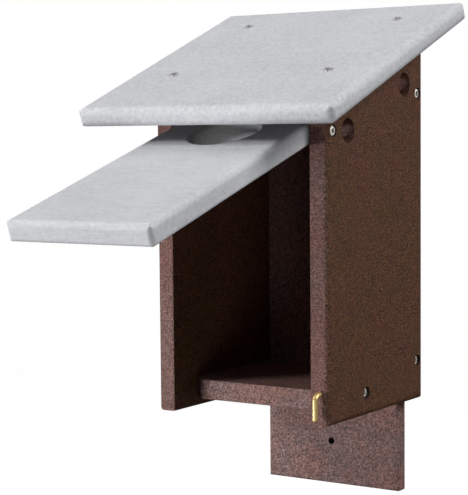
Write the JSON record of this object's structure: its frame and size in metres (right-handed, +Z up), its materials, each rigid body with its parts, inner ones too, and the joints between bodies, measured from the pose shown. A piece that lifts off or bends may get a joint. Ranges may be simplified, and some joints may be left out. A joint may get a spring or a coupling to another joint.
{
  "type": "birdhouse",
  "caption": "Wall or post mounted birdhouse of flat boards with a sloping roof, a round entrance in a front door that swings up on pivot screws, and a turning hook catch.",
  "frame": {"origin": "on the back board's rear face, centred across the width, level with the side boards' lower ends", "axes": "+Y into the wall or post behind the house, -Y out of its front, +Z up, +X to the right as seen from the front"},
  "size_m": [0.23, 0.3669, 0.4059],
  "materials": {
    "grey_board": "matte, faintly grained",
    "door_board": "matte, faintly grained",
    "brown_board": "matte, finely mottled",
    "back_board": "matte, finely mottled",
    "screw": "satin",
    "brass": "satin"
  },
  "bodies": {
    "house": {"roof_panel": "grey_board", "left_side_panel": "brown_board", "right_side_panel": "brown_board", "back_board": "back_board", "floor_panel": "back_board", "back_screw_left_upper": "screw", "back_screw_left_lower": "screw", "back_screw_right_upper": "screw", "back_screw_right_lower": "screw", "floor_screw_left": "screw", "floor_screw_right": "screw", "roof_screw_front_left": "screw", "roof_screw_front_right": "screw", "roof_screw_rear_left": "screw", "roof_screw_rear_right": "screw"},
    "door": {"front_door": "door_board", "door_pivot_screw_left": "screw", "door_pivot_screw_right": "screw"},
    "latch": {"latch_hook": "brass"}
  },
  "joints": [
    {"name": "door_swing", "type": "hinge", "parent": "house", "child": "door", "pos_m": [0, -0.1492, 0.2241], "axis": [-1, 0, 0], "range_deg": [-72, 14]},
    {"name": "latch_turn", "type": "hinge", "parent": "house", "child": "latch", "pos_m": [0.0715, -0.158, 0.0247], "axis": [0, 1, 0], "range_deg": [0, 90]}
  ]
}
